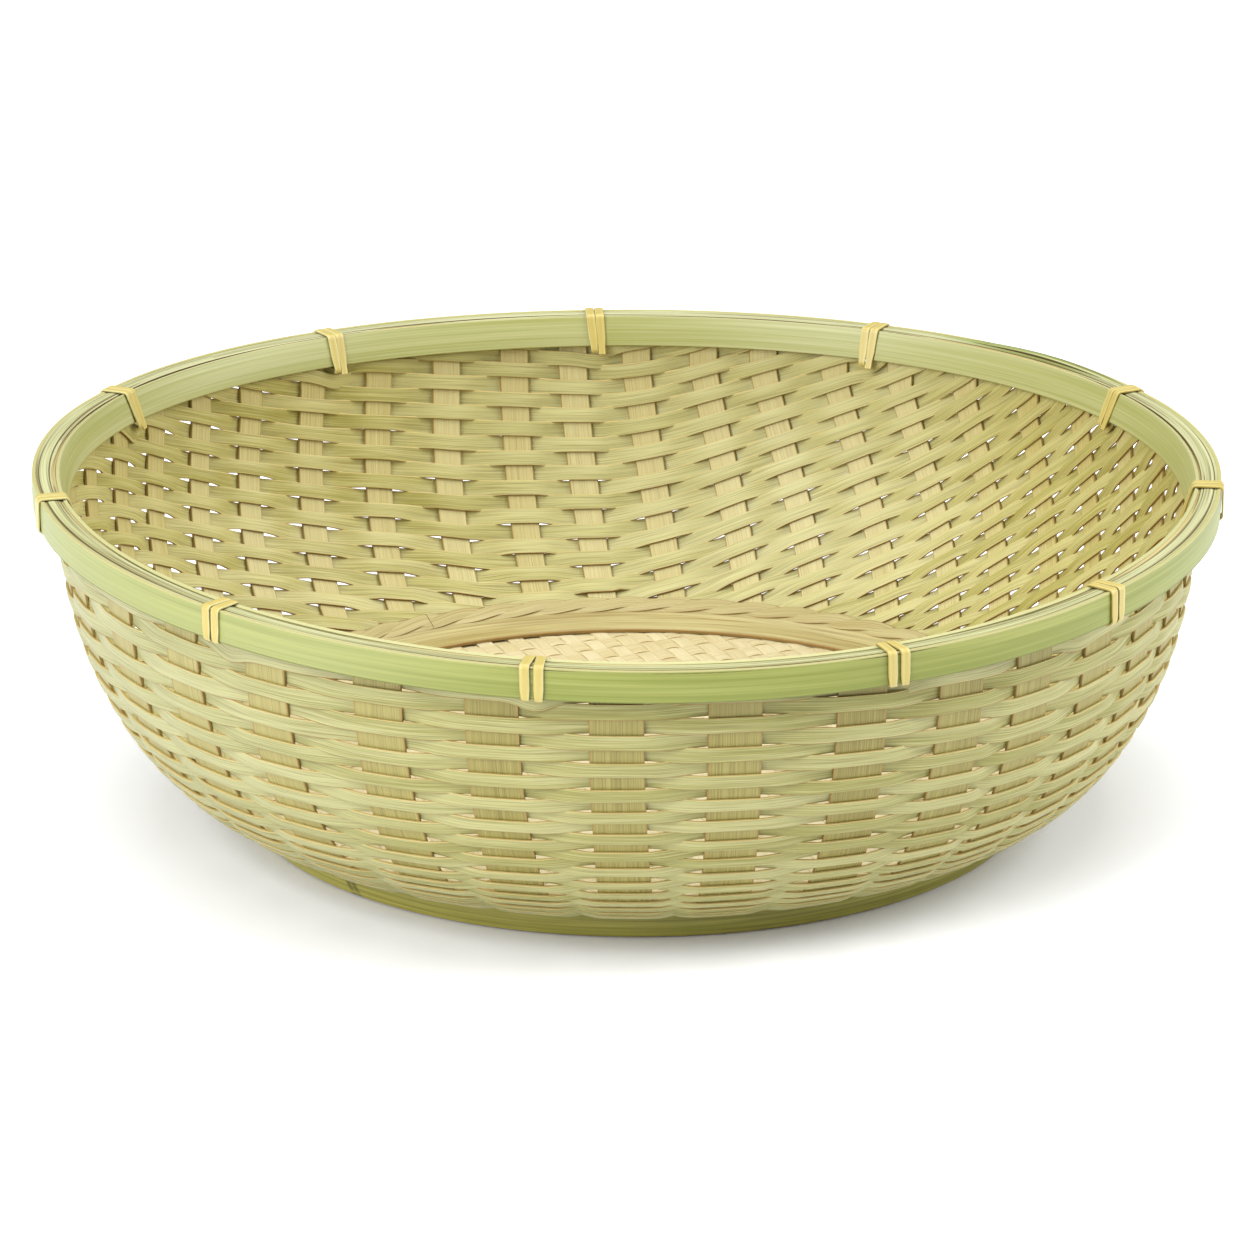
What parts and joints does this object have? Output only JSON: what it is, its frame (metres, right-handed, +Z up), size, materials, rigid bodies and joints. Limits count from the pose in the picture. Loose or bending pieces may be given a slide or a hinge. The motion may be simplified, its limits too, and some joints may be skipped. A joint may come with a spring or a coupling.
{
  "type": "bamboo zaru basket",
  "caption": "Round woven bamboo zaru basket: an open bowl on a low foot ring, its rim made of split hoops bound with strip ties.",
  "frame": {"origin": "on the surface the basket stands on, under the centre of the rim", "axes": "+Z up out of the bowl, -Y towards the front, +X to the right"},
  "size_m": [0.36, 0.3607, 0.1098],
  "materials": {
    "weave_strip": "split bamboo, pale yellow green, matte",
    "mat_strip": "plaited split bamboo, pale beige, matte",
    "stake_strip": "split bamboo, tan, fine fibre lines, matte",
    "foot_skin": "olive bamboo skin, satin",
    "hoop_skin": "light green bamboo skin, satin",
    "filler_strip": "pale green split bamboo, matte",
    "tie_strip": "pale yellow split strip, satin"
  },
  "bodies": {
    "root": {"woven_wall": "weave_strip", "floor_mat": "mat_strip", "floor_band": "stake_strip", "foot_ring": "foot_skin", "rim_outer_hoop": "hoop_skin", "rim_inner_hoop": "hoop_skin", "rim_filler_outer": "filler_strip", "rim_filler_middle": "filler_strip", "rim_filler_inner": "filler_strip", "rim_core_strip": "stake_strip", "rim_tie_01": "tie_strip", "rim_tie_02": "tie_strip", "rim_tie_03": "tie_strip", "rim_tie_04": "tie_strip", "rim_tie_05": "tie_strip", "rim_tie_06": "tie_strip", "rim_tie_07": "tie_strip", "rim_tie_08": "tie_strip", "rim_tie_09": "tie_strip", "rim_tie_10": "tie_strip", "rim_tie_11": "tie_strip"}
  },
  "joints": []
}
